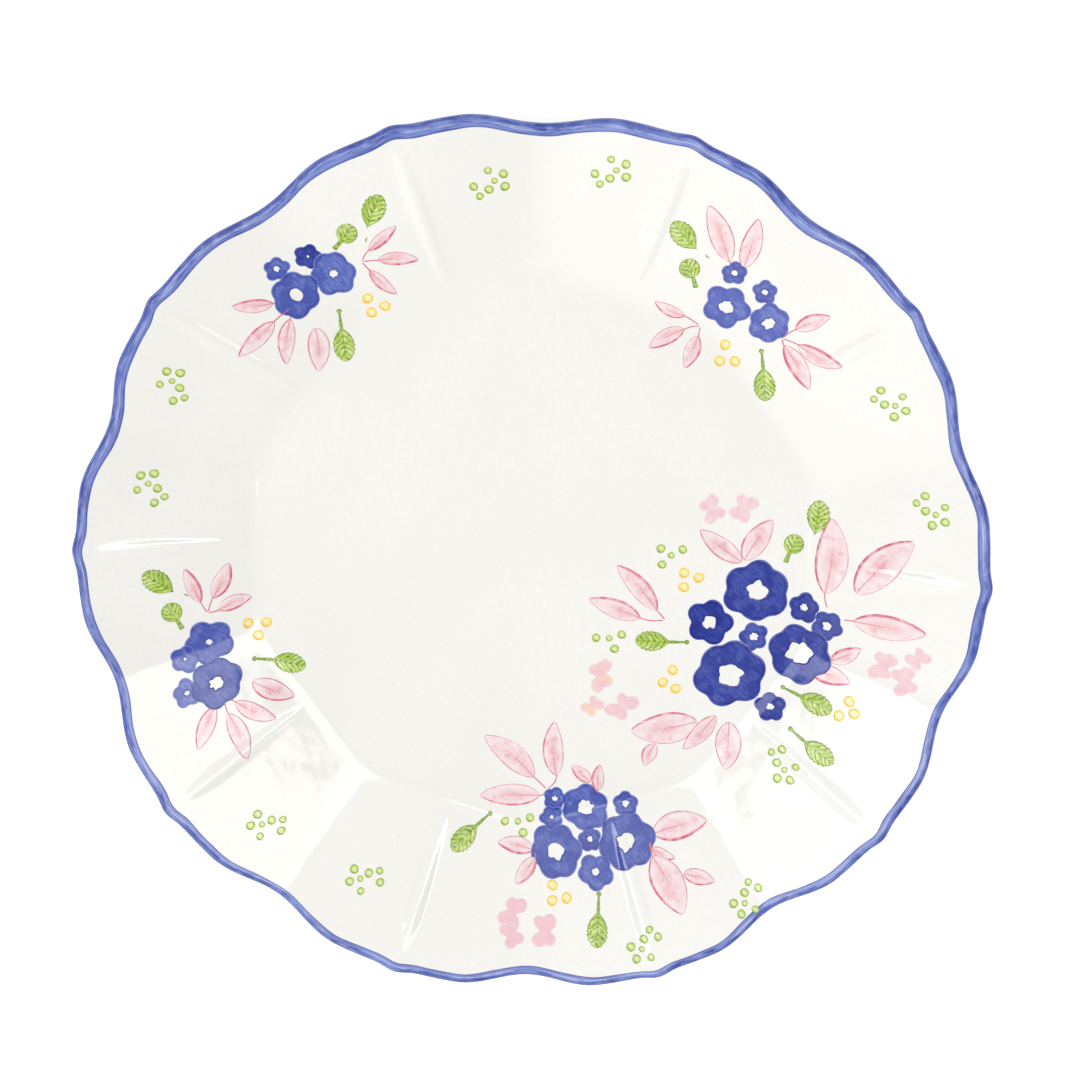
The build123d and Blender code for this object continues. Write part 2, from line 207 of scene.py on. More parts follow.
def turned(rho, z, turn, middles, first=0):
    """Points and faces of rings round the axis, closed at each end by a middle point at the given height."""
    points = ring_points(rho, z, turn)
    faces = grid_faces(len(rho), len(turn), first)
    middle = first + len(points)
    last = middle - len(turn)
    for j in range(len(turn)):
        after = (j + 1) % len(turn)
        faces += [[middle, first + j, first + after], [middle + 1, last + after, last + j]]
    return np.concatenate([points, [[0, 0, height] for height in middles]]), faces


def skin_normal(rho, z):
    """Outward normal at section rows that run outward over the top and back underneath."""
    slip_rho, slip_z = np.gradient(rho, axis=0), np.gradient(z, axis=0)
    length = np.hypot(slip_rho, slip_z)
    return -slip_z / length, slip_rho / length


def put(name, data):
    """A new object in the scene."""
    made = bpy.data.objects.new(name, data)
    bpy.context.scene.collection.objects.link(made)
    return made


def make_piece(name, points, faces, node, material, attributes=None):
    """One shown piece that stands for a CAD node."""
    mesh = bpy.data.meshes.new(name)
    mesh.from_pydata((np.asarray(points) * MM).tolist(), [], faces)
    mesh.polygons.foreach_set("use_smooth", [True] * len(mesh.polygons))
    for key, values in (attributes or {}).items():
        held = mesh.attributes.new(key, "FLOAT_VECTOR", "POINT")
        held.data.foreach_set("vector", np.asarray(values, np.float32).ravel())
    mesh.materials.append(material)
    mesh.update()
    piece = put(name, mesh)
    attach(piece, "root")
    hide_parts(node)
    return piece


# -- material helpers


def paint(red, green, blue):
    """A colour given as 0 to 255 on screen, as the linear colour a shader takes."""
    linear = []
    for level in (red, green, blue):
        share = level / 255
        linear.append(share / 12.92 if share <= 0.04045 else ((share + 0.055) / 1.055) ** 2.4)
    return (*linear, 1.0)


GLAZE_WHITE = paint(247, 245, 240)


class Nodes:
    """Small helpers round a node tree."""

    def __init__(self, tree):
        self.tree = tree

    def set(self, socket, value):
        if isinstance(value, bpy.types.NodeSocket):
            self.tree.links.new(value, socket)
        else:
            socket.default_value = value

    def node(self, kind, **properties):
        made = self.tree.nodes.new(kind)
        for key, value in properties.items():
            setattr(made, key, value)
        return made

    def math(self, operation, first, second=0.0):
        made = self.node("ShaderNodeMath", operation=operation)
        self.set(made.inputs[0], first)
        self.set(made.inputs[1], second)
        return made.outputs[0]

    def times(self, first, second):
        return self.math("MULTIPLY", first, second)

    def plus(self, first, second):
        return self.math("ADD", first, second)

    def map(self, value, low, high, to_low=0.0, to_high=1.0):
        made = self.node("ShaderNodeMapRange", interpolation_type="SMOOTHSTEP")
        for socket, given in zip(made.inputs, (value, low, high, to_low, to_high)):
            self.set(socket, given)
        return made.outputs[0]

    def mix(self, share, first, second):
        made = self.node("ShaderNodeMix", data_type="RGBA")
        self.set(made.inputs["Factor"], share)
        self.set(made.inputs[6], first)
        self.set(made.inputs[7], second)
        return made.outputs[2]

    def split(self, vector):
        made = self.node("ShaderNodeSeparateXYZ")
        self.set(made.inputs[0], vector)
        return tuple(made.outputs)

    def attribute(self, name):
        return self.split(self.node("ShaderNodeAttribute", attribute_name=name).outputs["Vector"])

    def join(self, x, y, z=0.0):
        made = self.node("ShaderNodeCombineXYZ")
        for socket, value in zip(made.inputs, (x, y, z)):
            self.set(socket, value)
        return made.outputs[0]

    def place(self):
        return self.node("ShaderNodeTexCoord").outputs["Object"]

    def noise(self, vector, scale, detail=2.0, roughness=0.5, distortion=0.0):
        made = self.node("ShaderNodeTexNoise")
        given = {"Vector": vector, "Scale": scale, "Detail": detail, "Roughness": roughness}
        for name, value in (*given.items(), ("Distortion", distortion)):
            self.set(made.inputs[name], value)
        return made.outputs["Fac"]

    def ridge(self, value, middle, width):
        """1 where the value is at the middle, falling to 0 over the width on each side."""
        away = self.math("ABSOLUTE", self.math("SUBTRACT", value, middle))
        return self.map(away, 0.0, width, 1.0, 0.0)


class Finish(Nodes):
    """A material under construction."""

    def __init__(self, name, roughness, ior=1.5):
        self.material = bpy.data.materials.new(name)
        self.material.use_nodes = True
        super().__init__(self.material.node_tree)
        self.shader = self.tree.nodes["Principled BSDF"]
        self.set(self.shader.inputs["Roughness"], roughness)
        self.set(self.shader.inputs["IOR"], ior)

    def lay(self, colour, *shares):
        """One more colour over what is there, as strongly as the shares multiplied together."""
        share = shares[0]
        for factor in shares[1:]:
            share = self.times(share, factor)
        self.shown = self.mix(share, self.shown, colour)

    def colour(self):
        self.set(self.shader.inputs["Base Color"], self.shown)

    def orange_peel(self, fine=0.22, wavy=9.0):
        """The glaze's own surface: a fine grain and a slow waviness, both in hundredths of a millimetre."""
        bump = self.node("ShaderNodeBump")
        bump.inputs["Distance"].default_value = 0.01 * MM
        grain = self.times(self.noise(self.place(), 900.0, 2.0), fine)
        waves = self.times(self.noise(self.place(), 100.0, 2.0), wavy)
        self.set(bump.inputs["Height"], self.plus(grain, waves))
        self.set(self.shader.inputs["Normal"], bump.outputs["Normal"])

    def one_side(self, side, seed, stride, low, high):
        """1 on one side of a leaf, more or less strongly and left or right as its seed falls."""
        chance = self.math("SUBTRACT", self.math("FRACT", self.times(seed, stride)), 0.5)
        return self.map(self.times(side, chance), low, high)


GLOSS = 0.06

# Clear glaze over white clay: near white, faintly warmer where it pools, with a few dark specks.
clear_glaze = coat = Finish("clear_glaze", GLOSS)
where = coat.place()
tone = coat.map(coat.noise(where, 22.0, 3.0), 0.3, 0.7)
coat.shown = coat.mix(tone, paint(246, 244, 238), paint(249, 248, 244))
grain = coat.map(coat.noise(where, 1400.0, 2.0), 0.35, 0.75)
coat.lay(paint(240, 237, 230), grain, 0.35)
speck_cells = coat.node("ShaderNodeTexVoronoi")
coat.set(speck_cells.inputs["Vector"], where)
speck_cells.inputs["Scale"].default_value = 150.0
speck_near = coat.map(speck_cells.outputs["Distance"], 0.012, 0.035, 1.0, 0.0)
speck_pick = coat.split(speck_cells.outputs["Color"])[0]
speck = coat.times(speck_near, coat.math("GREATER_THAN", speck_pick, 0.72))
coat.lay(paint(176, 164, 146), speck, 0.55)
coat.colour()
coat.orange_peel()

# Fired clay, bare on the foot ring only: dry, slightly grey from standing, with fine pores.
bare_clay = coat = Finish("bare_clay", 0.82, 1.45)
where = coat.place()
clay_tone = coat.map(coat.noise(where, 60.0, 4.0), 0.3, 0.7)
coat.shown = coat.mix(clay_tone, paint(226, 217, 200), paint(240, 234, 222))
pores = coat.map(coat.noise(where, 2600.0, 2.0), 0.62, 0.72)
scuffs = coat.map(coat.noise(where, 240.0, 5.0, 0.7), 0.6, 0.75)
coat.lay(paint(170, 164, 155), scuffs, 0.35)
coat.lay(paint(150, 140, 122), pores, 0.4)
coat.colour()
clay_bump = coat.node("ShaderNodeBump")
coat.set(clay_bump.inputs["Strength"], 0.5)
coat.set(clay_bump.inputs["Distance"], 0.08 * MM)
coat.set(clay_bump.inputs["Height"], coat.noise(where, 2200.0, 3.0))
coat.set(coat.shader.inputs["Normal"], clay_bump.outputs["Normal"])

# Blue band: brushed round the edge, thin and thick by turns, with painted highlights on its inner part and
# along the lip's crest and painted shade on the lip's outer face. Attribute band: mm along, share across,
# degrees.
band_blue = coat = Finish("band_blue", GLOSS)
along, across, bearing = coat.attribute("band")
brush = coat.noise(coat.join(coat.times(along, 0.09), coat.times(across, 5.0)), 2.4, 4.0, 0.6)
slow = coat.noise(coat.join(coat.times(along, 0.03), 3.0), 2.0, 2.0)
deep = coat.mix(coat.map(slow, 0.35, 0.65), paint(58, 76, 162), paint(104, 122, 196))
coat.shown = coat.mix(coat.map(brush, 0.42, 0.66), deep, paint(134, 150, 212))
# Paler inner part of the band: a painted highlight, stronger or weaker with the slow brush noise.
crest = coat.times(coat.ridge(across, 0.30, 0.22), coat.map(slow, 0.3, 0.6, 0.1, 0.6))
coat.lay(paint(146, 160, 218), crest)
# A broken pale line along the crest of the lip: a painted highlight standing for the glaze's sheen on the
# rounded lip.
lip_highlight_breaks = coat.noise(coat.join(coat.times(along, 0.05), across, 7.0), 1.6, 3.0)
lip_highlight_line = coat.times(coat.ridge(across, 0.47, 0.09), coat.map(lip_highlight_breaks, 0.44, 0.62, 0.0, 0.75))
coat.lay(paint(196, 206, 240), lip_highlight_line)
# Darker outer face of the lip: painted shade where the edge turns down and away from the light.
outer_lip_shade = coat.times(coat.ridge(across, 0.66, 0.16), 0.5)
coat.lay(paint(56, 72, 164), outer_lip_shade)
fringe = coat.ridge(across, 0.10, 0.10)
coat.lay(paint(62, 78, 172), fringe, 0.45)
band_rub = coat.map(coat.noise(coat.join(coat.times(along, 0.5), across), 1.8, 4.0, 0.7), 0.64, 0.74)
rub_place = coat.ridge(across, 0.62, 0.16)
coat.lay(paint(150, 160, 214), band_rub, rub_place, 0.35)
stain_noise = coat.map(coat.noise(coat.join(along, across), 0.9, 2.0), 0.70, 0.76)
stain_place = coat.ridge(bearing, 187.0, 14.0)
coat.lay(paint(84, 62, 60), stain_noise, stain_place)
coat.colour()
coat.orange_peel(0.3)

# Cobalt flowers. motif: mm from the middle twice, seed. depth: mm from the outline, mm from the eye, tone.
flower_blue = coat = Finish("flower_blue", GLOSS)
u, v, seed = coat.attribute("motif")
outline, eye, tone = coat.attribute("depth")
crossing = coat.attribute("crossing")[0]
place = coat.join(u, v, seed)
wobble = coat.times(coat.math("SUBTRACT", coat.noise(place, 0.55, 2.0), 0.5), 0.9)
stroke_across, stroke_along = coat.times(coat.plus(u, v), 1.7), coat.times(coat.math("SUBTRACT", u, v), 0.35)
streak = coat.noise(coat.join(stroke_across, stroke_along, seed), 0.8, 4.0, 0.65)
cloud = coat.noise(place, 0.20, 2.0)
light_fill = coat.mix(coat.map(streak, 0.3, 0.8), paint(84, 100, 184), paint(132, 148, 212))
deep_fill = coat.mix(coat.map(streak, 0.3, 0.8), paint(34, 48, 146), paint(62, 78, 166))
coat.shown = coat.mix(tone, light_fill, deep_fill)
clouded = coat.mix(tone, paint(68, 84, 176), paint(24, 34, 132))
coat.lay(clouded, coat.map(cloud, 0.46, 0.54), 0.6)
pooled = coat.mix(tone, paint(54, 68, 162), paint(10, 18, 116))
inner = coat.plus(outline, wobble)
line = coat.ridge(inner, 0.85, 0.55)
coat.lay(pooled, line, 0.5)
eye_line = coat.ridge(coat.plus(eye, wobble), 0.35, 0.5)
coat.lay(pooled, eye_line, 0.5)
under = coat.map(crossing, 0.0, 0.25)
coat.lay(pooled, under, 0.55)
coat.lay(pooled, coat.ridge(crossing, 0.35, 0.4), 0.6)
halo = coat.map(outline, 0.05, 0.42, 0.0, 1.0)
coat.shown = coat.mix(halo, coat.mix(tone, paint(150, 162, 220), paint(96, 110, 190)), coat.shown)
coat.colour()
coat.orange_peel()

# Rose leaves. motif: share along, share across (-1 to 1), seed. size: mm along, across and in from the edge.
leaf_pink = coat = Finish("leaf_pink", GLOSS)
share, side, seed = coat.attribute("motif")
run, lie, edge_in = coat.attribute("size")
place = coat.join(run, lie, seed)
patchy = coat.noise(place, 0.35, 3.0)
coat.shown = coat.mix(coat.map(patchy, 0.35, 0.7), paint(249, 236, 235), paint(246, 220, 221))
heart = coat.times(coat.ridge(side, 0.0, 0.75), coat.ridge(share, 0.5, 0.42))
coat.lay(paint(243, 205, 208), heart, 0.75)
blotch = coat.map(coat.noise(place, 0.42, 2.0, 0.4), 0.54, 0.70, 0.0, 0.42)
coat.lay(paint(234, 158, 172), blotch, coat.map(edge_in, 0.3, 1.1))
slanted = coat.plus(run, coat.times(coat.math("ABSOLUTE", lie), -1.2))
slanted = coat.plus(slanted, coat.times(patchy, 1.6))
veins = coat.map(coat.math("SINE", coat.times(slanted, 6.0)), 0.35, 0.95)
vein_place = coat.times(heart, coat.map(coat.noise(place, 0.55, 2.0), 0.38, 0.56))
coat.lay(paint(228, 116, 142), veins, vein_place, 0.8)
stalkward = coat.times(coat.ridge(lie, 0.0, 0.34), coat.map(share, 0.8, 0.3))
coat.lay(paint(224, 106, 134), stalkward, 0.7)
wide = coat.plus(0.42, coat.times(coat.one_side(side, seed, 0.37, -0.1, 0.4), 1.1))
rim_line = coat.map(edge_in, coat.times(wide, 0.35), wide, 1.0, 0.0)
rim_strength = coat.map(coat.noise(place, 0.45, 2.0), 0.3, 0.6, 0.5, 1.0)
coat.lay(paint(222, 100, 130), rim_line, rim_strength)
coat.colour()
coat.orange_peel()

# Green leaves, with the same attributes.
leaf_green = coat = Finish("leaf_green", GLOSS)
share, side, seed = coat.attribute("motif")
run, lie, edge_in = coat.attribute("size")
place = coat.join(run, lie, seed)
patchy = coat.noise(place, 0.5, 3.0, 0.6)
coat.shown = coat.mix(coat.map(patchy, 0.36, 0.6), paint(186, 210, 84), paint(222, 234, 158))
half_dark = coat.one_side(side, seed, 0.61, -0.15, 0.25)
coat.lay(paint(146, 182, 48), half_dark, 0.5)
slanted = coat.plus(run, coat.times(coat.math("ABSOLUTE", lie), -0.9))
slanted = coat.plus(slanted, coat.times(patchy, 3.4))
veins = coat.map(coat.math("SINE", coat.times(slanted, 3.8)), 0.1, 0.9)
vein_strength = coat.map(coat.noise(place, 0.7, 2.0), 0.35, 0.6, 0.45, 1.0)
coat.lay(paint(104, 148, 18), veins, vein_strength)
midrib = coat.ridge(lie, 0.0, 0.28)
coat.lay(paint(104, 148, 22), midrib, 0.6)
edge_line = coat.map(edge_in, 0.22, 0.55, 1.0, 0.0)
coat.lay(paint(112, 156, 24), edge_line, 0.75)
stipple = coat.map(coat.noise(place, 2.4, 1.0), 0.58, 0.66)
tip_end = coat.map(share, 0.55, 0.85)
coat.lay(paint(222, 232, 178), stipple, tip_end, 0.55)
coat.colour()
coat.orange_peel()

# Sponged blossoms, pale pink, some warmer. motif: mm twice, seed. depth: mm in, warmth, strength.
blossom_pink = coat = Finish("blossom_pink", GLOSS)
u, v, seed = coat.attribute("motif")
edge_in, warmth, strength = coat.attribute("depth")
sponge = coat.noise(coat.join(u, v, seed), 0.42, 3.0)
fine = coat.noise(coat.join(u, v, seed), 2.6, 2.0)
coat.shown = coat.mix(coat.map(sponge, 0.35, 0.66), paint(247, 224, 226), paint(243, 204, 210))
coat.lay(paint(242, 190, 202), strength, 0.8)
coat.lay(paint(248, 224, 224), coat.map(fine, 0.5, 0.7), 0.35)
warm_place = coat.times(warmth, coat.map(coat.noise(coat.join(u, v, seed), 0.3, 2.0), 0.45, 0.6))
coat.lay(paint(250, 218, 190), warm_place)
faded = coat.map(edge_in, 0.0, 0.5, 0.65, 0.0)
coat.lay(GLAZE_WHITE, faded)
coat.colour()
coat.orange_peel()


def berry_finish(name, pale, ring, dark):
    """A dot with a pale middle and a ring, darker on one side. motif: x, y, seed. depth: share out."""
    coat = Finish(name, GLOSS)
    u, v, seed = coat.attribute("motif")
    out = coat.attribute("depth")[0]
    place = coat.join(u, v, seed)
    uneven = coat.times(coat.math("SUBTRACT", coat.noise(place, 1.6, 2.0), 0.5), 0.5)
    coat.shown = coat.mix(coat.map(coat.plus(out, uneven), 0.42, 0.78), pale, ring)
    lean = coat.map(coat.plus(coat.times(u, -0.55), coat.times(v, -0.83)), 0.1, 0.9)
    coat.lay(dark, lean, 0.75)
    coat.lay(dark, coat.map(coat.noise(place, 3.2, 2.0), 0.5, 0.7), 0.3)
    coat.colour()
    coat.orange_peel()
    return coat


berry_yellow = berry_finish("berry_yellow", paint(255, 246, 196), paint(252, 220, 92), paint(244, 188, 40))
berry_green = berry_finish("berry_green", paint(228, 238, 176), paint(168, 200, 62), paint(126, 166, 24))


# -- glaze coat

COLUMN_GAPS = [0.35] * 4 + [0.4] * 2 + [0.5, 0.6, 0.8, 0.9, 1, 1.1] + [1.2] * 4 + [1.1] * 2 + [1, 0.9, 1]
COLUMN_STEPS = np.concatenate([[0], np.cumsum(COLUMN_GAPS)])
COLUMN_SPAN = 18.0  # the steps above are for a half lobe of this many degrees
FILLET_START, FILLET_END = 79.3, 86.5  # reaches between which the well turns up
UNDER_FILLET_END = 87.6
UNDER_FILLET = (86.2, 84.8, 83.4, 82.0, 80.6)


def columns():
    """Angles of the mesh columns, closest together at the ribs."""
    found = []
    for i, rib in enumerate(RIB_ANGLES):
        ahead = (RIB_ANGLES[(i + 1) % len(RIB_ANGLES)] - rib) % 360 / 2
        behind = (rib - RIB_ANGLES[i - 1]) % 360 / 2
        found.extend(rib + COLUMN_STEPS * ahead / COLUMN_SPAN)
        found.extend(rib - COLUMN_STEPS[1:] * behind / COLUMN_SPAN)
        found.append(rib + ahead)
    return np.sort(np.array(found) % 360)


phi = columns()
column_turn = np.radians(phi)
off, half = facet_of(phi)
count = len(phi)
well_edge = rho_of(FILLET_START, off, half)
in_well = (0.05, 0.12, 0.2, 0.28, 0.36, 0.44, 0.52, 0.6, 0.68, 0.76, 0.83, 0.89, 0.94, 0.975)
over = [share * well_edge for share in in_well]
over += [rho_of(reach, off, half) for reach in np.linspace(FILLET_START, FILLET_END, 10)]
lip_rows = lip(phi, np.linspace(0, 1, 9), np.linspace(0, 1, 8))
start, end = over[-1], lip_rows[0][0]
over += [start + (end - start) * share for share in np.linspace(0, 1, 50)[1:-1]]
start, end = lip_rows[-1][0], rho_of(UNDER_FILLET_END, off, half)
under = [start + (end - start) * share for share in np.linspace(0, 1, 16)[1:]]
under += [rho_of(reach, off, half) for reach in UNDER_FILLET]
foot_side = FOOT_OUTER + FOOT_LEAN * GLAZE_LINE
outside_foot = [(80.0, 2.6), (79.5, 2.52), (79.15, 2.3), (78.85, 1.9), (78.62, 1.4)]
outside_foot += [(foot_side, GLAZE_LINE), (foot_side - 0.12, 0.9)]
rows = [(rho, top_height(rho, phi)) for rho in over] + lip_rows
rows += [(rho, under_height(rho, phi)) for rho in under]
rows += [(np.full(count, rho), np.full(count, z)) for rho, z in outside_foot]
outer_rho = np.array([row[0] for row in rows])
outer_z = np.array([row[1] for row in rows])
normal_rho, normal_z = skin_normal(outer_rho, outer_z)
inner_rho, inner_z = outer_rho - GLAZE * normal_rho, outer_z - GLAZE * normal_z
kept = sorted(set(range(len(rows) - 2, 0, -3)) | {len(rows) - 1}, reverse=True)
ring_rho = np.concatenate([outer_rho, inner_rho[kept]])
ring_z = np.concatenate([outer_z, inner_z[kept]])
centre_z = float(top_height(np.array([0.001]), np.array([0.0]))[0])
points, faces = turned(ring_rho, ring_z, column_turn, (centre_z, centre_z - GLAZE))

# The part of the coat inside the foot ring is a closed shell of its own.
side = FOOT_INNER - FOOT_LEAN * GLAZE_LINE
hidden_side = [(r, UNDER_FLOOR + GLAZE) for r in (12, 30, 48, 62, 70, 71.9)]
hidden_side += [(side - 0.55, 2.0), (side + 0.12, GLAZE_LINE + 0.05)]
shown_side = [(side + 0.05, 0.9), (side - 0.02, GLAZE_LINE), (side - 0.25, 1.5), (side - 0.48, 2.0)]
shown_side += [(side - 0.75, 2.4), (side - 1.2, 2.58), (side - 1.8, UNDER_FLOOR)]
shown_side += [(68, 2.6), (62, 2.62), (54, 2.6), (44, 2.61), (32, 2.6), (18, 2.6)]
inside_rho, inside_z = np.array(hidden_side + shown_side, float).T[..., None]
inside_turn = np.radians(np.arange(0, 360, 1.5))
inside_middles = (UNDER_FLOOR + GLAZE, UNDER_FLOOR)
inside_points, inside_faces = turned(inside_rho, inside_z, inside_turn, inside_middles, len(points))
points = np.concatenate([points, inside_points])
faces += inside_faces
make_piece("glaze_over_body", points, faces, "glaze_coat", clear_glaze.material)

# The clay body fills the coat, and shows only as the foot ring's dry face.
BODY_GAP = 0.34  # the clay lies this far inside the glaze's outer surface
reduced = sorted(set(range(0, len(outer_rho) - 1, 3)) | {len(outer_rho) - 3})
body_rho = (outer_rho - BODY_GAP * normal_rho)[reduced]
body_z = (outer_z - BODY_GAP * normal_z)[reduced]
outer, inner = FOOT_OUTER - 0.3, FOOT_INNER + 0.3
foot_profile = [(outer + FOOT_LEAN * 1.3, 1.3), (outer + FOOT_LEAN * 0.5, 0.5)]
foot_profile += [(outer - 0.06, 0.12), (outer - 0.25, 0), (outer - 0.9, 0), (75.5, 0)]
foot_profile += [(inner + 0.9, 0), (inner + 0.25, 0), (inner + 0.06, 0.12)]
foot_profile += [(inner - FOOT_LEAN * 0.5, 0.5), (inner - FOOT_LEAN * 1.3, 1.3)]
foot_profile += [(FOOT_INNER - 0.6, 2.2), (FOOT_INNER - 1.6, 2.86)]
foot_profile += [(rho, UNDER_FLOOR + BODY_GAP) for rho in (66, 50, 25)]
body_rho = np.concatenate([body_rho, [np.full(count, r, float) for r, _ in foot_profile]])
body_z = np.concatenate([body_z, [np.full(count, z, float) for _, z in foot_profile]])
clay_middles = (centre_z - BODY_GAP, UNDER_FLOOR + BODY_GAP)
clay_points, clay_faces = turned(body_rho, body_z, column_turn, clay_middles)
make_piece("fired_clay_body", clay_points, clay_faces, "clay_body", bare_clay.material)


# -- blue edge band

PROUD = 0.05  # paint stands this far above the glaze
SUNK = 0.05  # and its hidden side lies this far below
BAND_TOP = 3.5
BAND_UNDER = 1.4


def band_width(phi):
    """Width of the band on the upper side: broader at the back of the plate, uneven everywhere."""
    at = np.radians(phi)
    slow = 0.22 * np.sin(7 * at + 1) + 0.16 * np.sin(13 * at + 2.2)
    quick = 0.1 * np.sin(29 * at) + 0.07 * np.sin(61 * at + 3)
    return BAND_TOP + 0.35 * np.sin(at) + slow + quick


phi = np.arange(0, 360, 0.4)
turn = np.radians(phi)
edge = edge_radius(phi)
width = band_width(phi)
inner_edge = edge - width
rows, shares = [], []
lip_rows = lip(phi, np.linspace(0, 1, 8), np.linspace(0, 1, 7))
for share in (0, 0.06, 0.25, 0.5, 0.75):
    rho = inner_edge + (lip_rows[0][0] - inner_edge) * share
    rows.append((rho, top_height(rho, phi)))
    shares.append(0.5 * share)
for k, row in enumerate(lip_rows):
    rows.append(row)
    shares.append(0.5 + 0.35 * k / (len(lip_rows) - 1))
under_edge = lip_rows[-1][0]
for share in (0.5, 0.95, 1.0):
    rho = under_edge - (BAND_UNDER + 0.3 * np.sin(9 * turn) + 0.2 * np.sin(23 * turn)) * share
    rows.append((rho, under_height(rho, phi)))
    shares.append(0.85 + 0.15 * share)
skin_rho, skin_z = np.array([row[0] for row in rows]), np.array([row[1] for row in rows])
normal_rho, normal_z = skin_normal(skin_rho, skin_z)
lift = np.full(len(rows), PROUD)
lift[0] = lift[-1] = -SUNK
over_rho, over_z = skin_rho + lift[:, None] * normal_rho, skin_z + lift[:, None] * normal_z
below = slice(len(rows) - 2, 0, -1)
under_rho, under_z = (skin_rho - 1.4 * SUNK * normal_rho)[below], (skin_z - 1.4 * SUNK * normal_z)[below]
ring_rho, ring_z = np.concatenate([over_rho, under_rho]), np.concatenate([over_z, under_z])
points = ring_points(ring_rho, ring_z, turn)
faces = grid_faces(len(ring_rho), len(phi))
last_row = (len(ring_rho) - 1) * len(phi)
for j in range(len(phi)):
    after = (j + 1) % len(phi)
    faces.append([last_row + j, j, after, last_row + after])
travel = np.broadcast_to(LOBE_RADIUS * turn, ring_rho.shape)
across = np.array(shares + shares[below])[:, None] + 0 * ring_rho
bearing = np.broadcast_to(phi, ring_rho.shape)
band = np.stack([travel, across, bearing], axis=-1).reshape(-1, 3)
make_piece("painted_edge_band", points, faces, "rim_edge_band", band_blue.material, {"band": band})


# -- painted sprays

BLUE_FLOWERS = (
    # x, y, radius, turn, petals, tone from 0 (light) to 1 (deep), eye as a part of the radius
    (-74.0, 88.5, 3.8, 20, 5, 0.1, 0.20), (-65.0, 92.0, 4.0, 0, 5, 0.8, 0.08),
    (-58.0, 86.5, 6.8, 10, 6, 0.05, 0.16), (-69.0, 80.3, 7.2, 40, 6, 0.2, 0.26),
    (59.0, 87.5, 3.8, 15, 5, 0.3, 0.24), (57.0, 77.0, 6.9, 55, 5, 0.1, 0.30),
    (68.0, 82.0, 3.8, 18, 5, 0.3, 0.22), (69.5, 72.5, 6.1, 30, 6, 0.05, 0.30),
    (-98.4, -27.2, 7.2, 50, 5, 0.15, 0.12), (-105.6, -32.0, 4.4, 5, 5, 0.1, 0.10),
    (-105.0, -42.3, 4.4, 30, 5, 0.15, 0.16), (-96.4, -40.0, 7.7, 25, 6, 0.5, 0.24),
    (68.0, -11.0, 9.9, 25, 6, 0.75, 0.33), (54.0, -21.0, 7.2, 0, 5, 0.95, 0.27),
    (67.5, -25.5, 4.6, 35, 5, 0.5, 0.26), (60.5, -37.5, 10.8, 15, 6, 0.7, 0.33),
    (81.5, -30.5, 9.4, 40, 6, 0.7, 0.38), (82.5, -16.0, 4.8, 10, 5, 0.8, 0.22),
    (89.5, -21.0, 4.8, 50, 5, 0.7, 0.26), (73.0, -47.5, 4.7, 25, 5, 0.85, 0.22),
    (16.5, -81.5, 7.4, 25, 6, 0.15, 0.32), (7.0, -79.0, 3.9, 0, 5, 0.1, 0.2),
    (6.0, -85.0, 3.8, 45, 5, 0.2, 0.16), (29.0, -80.0, 4.0, 20, 5, 0.2, 0.24),
    (7.5, -95.0, 8.2, 10, 6, 0.3, 0.30), (18.0, -91.0, 3.8, 30, 5, 0.4, 0.22),
    (29.5, -91.0, 8.8, 20, 6, 0.3, 0.30), (20.0, -100.5, 5.6, 55, 5, 0.15, 0.2),
)
PINK_LEAVES = (
    # x, y of the base, turn, length, width
    (-47.5, 93.5, 42, 11.5, 3.4), (-45.0, 90.5, 0, 12.0, 4.0), (-47.5, 87.5, -45, 11.0, 3.6),
    (-75.5, 78.0, 182, 12.0, 4.0), (-75.5, 72.5, 224, 15.0, 4.7), (-71.0, 73.0, 263, 14.5, 4.7),
    (-64.0, 70.0, 271, 14.0, 6.0), (57.5, 91.0, 111, 18.5, 6.3), (61.5, 89.0, 76, 16.0, 5.6),
    (45.0, 73.5, 154, 10.0, 3.4), (45.0, 69.5, 209, 12.0, 4.5), (49.0, 67.5, 249, 10.5, 4.5),
    (77.0, 71.0, 26, 11.0, 4.5), (78.0, 66.5, -25, 14.5, 4.7), (74.0, 66.0, -60, 15.5, 5.2),
    (-100.5, -14.5, 111, 12.0, 4.0), (-97.0, -13.5, 65, 12.0, 4.9), (-95.5, -17.5, 19, 10.5, 4.3),
    (-86.0, -40.5, -23, 14.0, 5.8), (-97.0, -47.0, 249, 13.5, 4.9), (-93.0, -49.5, -68, 15.5, 5.4),
    (-91.0, -46.0, -27, 14.0, 4.7), (63.5, -2.0, 142, 16.5, 5.6), (64.0, -1.5, 57, 15.5, 6.7),
    (88.5, -11.0, 87, 24.0, 9.0), (97.5, -10.0, 48, 24.5, 9.4), (97.0, -18.5, -4, 21.5, 7.2),
    (90.5, -32.0, 30, 10.5, 4.5), (84.5, -35.5, -12, 12.5, 5.6), (38.0, -17.5, 131, 19.0, 5.6),
    (33.0, -20.0, 159, 17.0, 5.6), (51.0, -53.0, 189, 21.0, 9.4), (38.0, -60.5, 246, 8.0, 4.3),
    (56.5, -51.0, 228, 15.0, 5.2), (60.5, -53.0, 267, 15.0, 7.4), (0.5, -72.0, 139, 20.5, 7.2),
    (7.5, -71.5, 92, 18.0, 6.0), (2.5, -78.0, 181, 19.0, 6.7), (18.0, -73.5, 138, 8.0, 3.8),
    (20.5, -76.5, 87, 9.0, 3.8), (0.5, -95.0, 168, 11.5, 4.9), (1.0, -97.0, 234, 10.0, 4.5),
    (37.5, -88.5, 16, 17.5, 7.8), (37.0, -92.5, -20, 8.0, 3.1), (37.5, -95.0, -60, 19.0, 9.4),
    (47.0, -99.5, -10, 10.0, 4.5),
)
